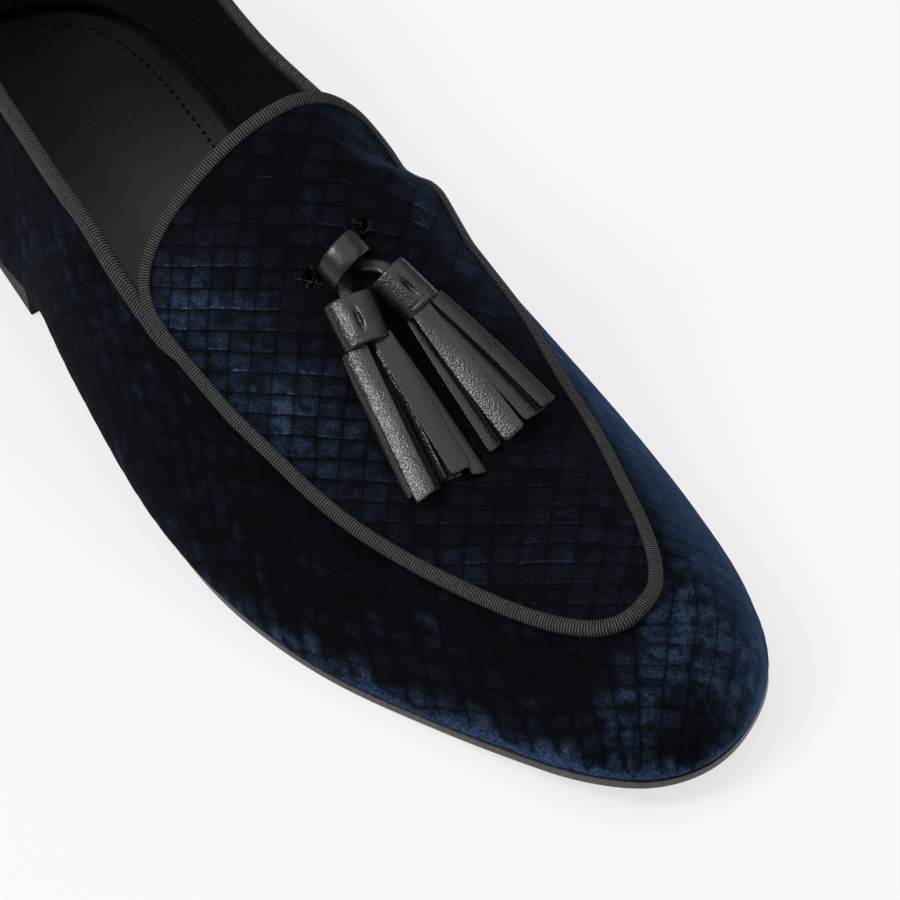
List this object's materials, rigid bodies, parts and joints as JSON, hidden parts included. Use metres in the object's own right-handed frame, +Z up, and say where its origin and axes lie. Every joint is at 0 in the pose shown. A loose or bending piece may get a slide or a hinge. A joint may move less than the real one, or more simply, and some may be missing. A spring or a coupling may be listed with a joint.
{
  "type": "tassel loafer",
  "caption": "Right-foot slip-on loafer with a hollow quilted velvet upper, an apron tongue, ribbon-bound edges, leather tassels, a thin leather sole and a low heel.",
  "frame": {"origin": "on the floor under the middle of the shoe's bounding box", "axes": "+X from heel to toe, +Y towards the inside of the foot (the wearer's left), +Z up from the floor"},
  "size_m": [0.3052, 0.0972, 0.0868],
  "materials": {
    "velvet": "embossed pile, matt with a blue sheen at grazing angles",
    "apron_velvet": "embossed pile, matt with a blue sheen at grazing angles",
    "ribbon": "ribbed woven ribbon, matt",
    "sock": "smooth, satin",
    "sole": "smooth dyed edge, satin",
    "heel": "stacked and dyed, satin",
    "tassel_leather": "fine pebble grain, satin"
  },
  "bodies": {
    "root": {"outsole": "sole", "heel": "heel", "insole": "sock", "upper": "velvet", "apron": "apron_velvet", "apron_ribbon": "ribbon", "collar_ribbon": "ribbon", "tassel_cap_lateral": "tassel_leather", "tassel_cap_medial": "tassel_leather", "tassel_fringe_lateral": "tassel_leather", "tassel_fringe_medial": "tassel_leather", "tassel_lace": "tassel_leather", "keeper_band": "tassel_leather"}
  },
  "joints": []
}
